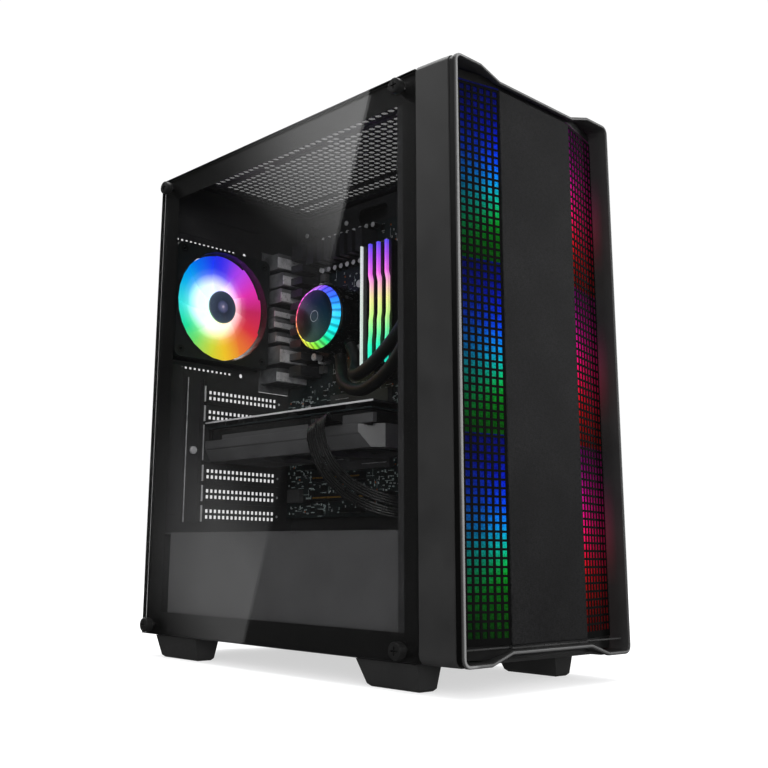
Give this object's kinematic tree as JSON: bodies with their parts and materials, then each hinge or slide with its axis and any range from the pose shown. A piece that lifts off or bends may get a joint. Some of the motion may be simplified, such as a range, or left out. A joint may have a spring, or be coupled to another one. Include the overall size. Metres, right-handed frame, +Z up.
{
  "type": "desktop computer tower",
  "caption": "Black mid-tower computer with a glass side, perforated front strips over lit fans, liquid cooling and a graphics card on show.",
  "frame": {"origin": "middle of the footprint, on the surface that the feet stand on", "axes": "+Z up; the front faces -Y and the glass side faces -X"},
  "size_m": [0.2182, 0.4126, 0.48],
  "materials": {
    "case_steel": "satin powder coat",
    "bezel_plastic": "satin",
    "perforated_steel": "satin",
    "front_plate": "fine woven texture",
    "side_glass": "polished",
    "screw_black": "satin",
    "filter_mesh": "fine mesh",
    "button_plastic": "satin",
    "port_plastic": "moulded",
    "fan_frame": "moulded",
    "fan_light": "lit from within in rainbow colours",
    "circuit_board": "solder mask",
    "heatsink": "anodised",
    "memory_cover": "anodised, with a lit bar",
    "pump_plastic": "gloss",
    "radiator_black": "satin",
    "hose_sleeve": "braided",
    "slot_steel": "satin",
    "card_shroud": "satin",
    "rotor_black": "moulded",
    "supply_steel": "powder coat",
    "cable_sleeve": "matte",
    "bare_metal": "plated",
    "gold_contact": "plated",
    "light_bar": "frosted, lit",
    "port_blue": "moulded",
    "lens_smoke": "polished"
  },
  "bodies": {
    "chassis": {"bottom_panel": "case_steel", "rear_panel": "case_steel", "top_panel": "case_steel", "front_chassis_panel": "case_steel", "motherboard_tray": "case_steel", "psu_shroud": "case_steel", "drive_cage": "case_steel", "foot_front_left": "bezel_plastic", "foot_rear_left": "bezel_plastic", "foot_front_right": "bezel_plastic", "foot_rear_right": "bezel_plastic", "front_port_module": "port_plastic", "front_fan_frame_1": "fan_frame", "front_fan_frame_2": "fan_frame", "front_fan_frame_3": "fan_frame", "rear_fan_frame": "fan_frame", "motherboard": "circuit_board", "voltage_heatsink": "heatsink", "memory_stick_1": "memory_cover", "memory_stick_2": "memory_cover", "memory_stick_3": "memory_cover", "memory_stick_4": "memory_cover", "cooler_pump": "pump_plastic", "radiator": "radiator_black", "coolant_hose_upper": "hose_sleeve", "coolant_hose_lower": "hose_sleeve", "slot_cover_1": "slot_steel", "slot_cover_2": "slot_steel", "slot_cover_5": "slot_steel", "slot_cover_6": "slot_steel", "slot_cover_7": "slot_steel", "slot_clamp": "slot_steel", "graphics_card": "card_shroud", "power_supply": "supply_steel", "graphics_power_cable": "cable_sleeve", "board_power_cable": "cable_sleeve"},
    "front_cover": {"front_bezel": "bezel_plastic", "mesh_strip_left": "perforated_steel", "mesh_strip_right": "perforated_steel", "front_centre_plate": "front_plate"},
    "glass_side": {"glass_panel": "side_glass"},
    "steel_side": {"steel_side_panel": "case_steel"},
    "top_filter": {"top_dust_filter": "filter_mesh"},
    "bottom_filter": {"psu_dust_filter": "bezel_plastic"},
    "power_button": {"power_button": "button_plastic"},
    "reset_button": {"reset_button": "button_plastic"},
    "supply_switch": {"power_supply_switch": "button_plastic"},
    "glass_screw_front_bottom": {"glass_screw_front_bottom": "screw_black"},
    "glass_screw_front_top": {"glass_screw_front_top": "screw_black"},
    "glass_screw_rear_bottom": {"glass_screw_rear_bottom": "screw_black"},
    "glass_screw_rear_top": {"glass_screw_rear_top": "screw_black"},
    "side_screw_bottom": {"side_screw_bottom": "screw_black"},
    "side_screw_top": {"side_screw_top": "screw_black"},
    "front_fan_rotor_1": {"front_fan_rotor_1": "fan_light"},
    "front_fan_rotor_2": {"front_fan_rotor_2": "fan_light"},
    "front_fan_rotor_3": {"front_fan_rotor_3": "fan_light"},
    "rear_fan_rotor": {"rear_fan_rotor": "fan_light"},
    "card_fan_rotor_1": {"card_fan_rotor_1": "rotor_black"},
    "card_fan_rotor_2": {"card_fan_rotor_2": "rotor_black"},
    "power_supply_rotor": {"power_supply_rotor": "rotor_black"}
  },
  "joints": [
    {"name": "front_cover_pull", "type": "slide", "parent": "chassis", "child": "front_cover", "axis": [0, -1, 0], "range_m": [0, 0.04]},
    {"name": "glass_side_lift_off", "type": "slide", "parent": "chassis", "child": "glass_side", "axis": [-1, 0, 0], "range_m": [0, 0.05]},
    {"name": "glass_screw_front_bottom_unscrew", "type": "slide", "parent": "glass_side", "child": "glass_screw_front_bottom", "axis": [-1, 0, 0], "range_m": [0, 0.01]},
    {"name": "glass_screw_front_top_unscrew", "type": "slide", "parent": "glass_side", "child": "glass_screw_front_top", "axis": [-1, 0, 0], "range_m": [0, 0.01]},
    {"name": "glass_screw_rear_bottom_unscrew", "type": "slide", "parent": "glass_side", "child": "glass_screw_rear_bottom", "axis": [-1, 0, 0], "range_m": [0, 0.01]},
    {"name": "glass_screw_rear_top_unscrew", "type": "slide", "parent": "glass_side", "child": "glass_screw_rear_top", "axis": [-1, 0, 0], "range_m": [0, 0.01]},
    {"name": "steel_side_slide", "type": "slide", "parent": "chassis", "child": "steel_side", "axis": [0, 1, 0], "range_m": [0, 0.025]},
    {"name": "side_screw_bottom_unscrew", "type": "slide", "parent": "steel_side", "child": "side_screw_bottom", "axis": [0, 1, 0], "range_m": [0, 0.008]},
    {"name": "side_screw_top_unscrew", "type": "slide", "parent": "steel_side", "child": "side_screw_top", "axis": [0, 1, 0], "range_m": [0, 0.008]},
    {"name": "top_filter_lift", "type": "slide", "parent": "chassis", "child": "top_filter", "axis": [0, 0, 1], "range_m": [0, 0.03]},
    {"name": "bottom_filter_slide", "type": "slide", "parent": "chassis", "child": "bottom_filter", "axis": [0, 1, 0], "range_m": [0, 0.16]},
    {"name": "power_button_press", "type": "slide", "parent": "chassis", "child": "power_button", "axis": [0, 0, -1], "range_m": [0, 0.0015], "stiffness_N_per_m": 400, "springref_m": -0.001},
    {"name": "reset_button_press", "type": "slide", "parent": "chassis", "child": "reset_button", "axis": [0, 0, -1], "range_m": [0, 0.001], "stiffness_N_per_m": 300, "springref_m": -0.001},
    {"name": "supply_switch_rock", "type": "hinge", "parent": "chassis", "child": "supply_switch", "pos_m": [-0.04385, 0.18215, 0.0505], "axis": [0, 0, 1], "range_deg": [-8, 8]},
    {"name": "front_fan_rotor_1_spin", "type": "hinge", "parent": "chassis", "child": "front_fan_rotor_1", "pos_m": [0.00415, -0.17685, 0.387], "axis": [0, 1, 0], "continuous": true},
    {"name": "front_fan_rotor_2_spin", "type": "hinge", "parent": "chassis", "child": "front_fan_rotor_2", "pos_m": [0.00415, -0.17685, 0.253], "axis": [0, 1, 0], "continuous": true},
    {"name": "front_fan_rotor_3_spin", "type": "hinge", "parent": "chassis", "child": "front_fan_rotor_3", "pos_m": [0.00415, -0.17685, 0.119], "axis": [0, 1, 0], "continuous": true},
    {"name": "rear_fan_rotor_spin", "type": "hinge", "parent": "chassis", "child": "rear_fan_rotor", "pos_m": [-0.03515, 0.18085, 0.35], "axis": [0, 1, 0], "continuous": true},
    {"name": "card_fan_rotor_1_spin", "type": "hinge", "parent": "chassis", "child": "card_fan_rotor_1", "pos_m": [0.00615, -0.01235, 0.1955], "axis": [0, 0, 1], "continuous": true},
    {"name": "card_fan_rotor_2_spin", "type": "hinge", "parent": "chassis", "child": "card_fan_rotor_2", "pos_m": [0.00615, 0.08165, 0.1955], "axis": [0, 0, 1], "continuous": true},
    {"name": "power_supply_rotor_spin", "type": "hinge", "parent": "chassis", "child": "power_supply_rotor", "pos_m": [0.00315, 0.10765, 0.035], "axis": [0, 0, 1], "continuous": true}
  ]
}
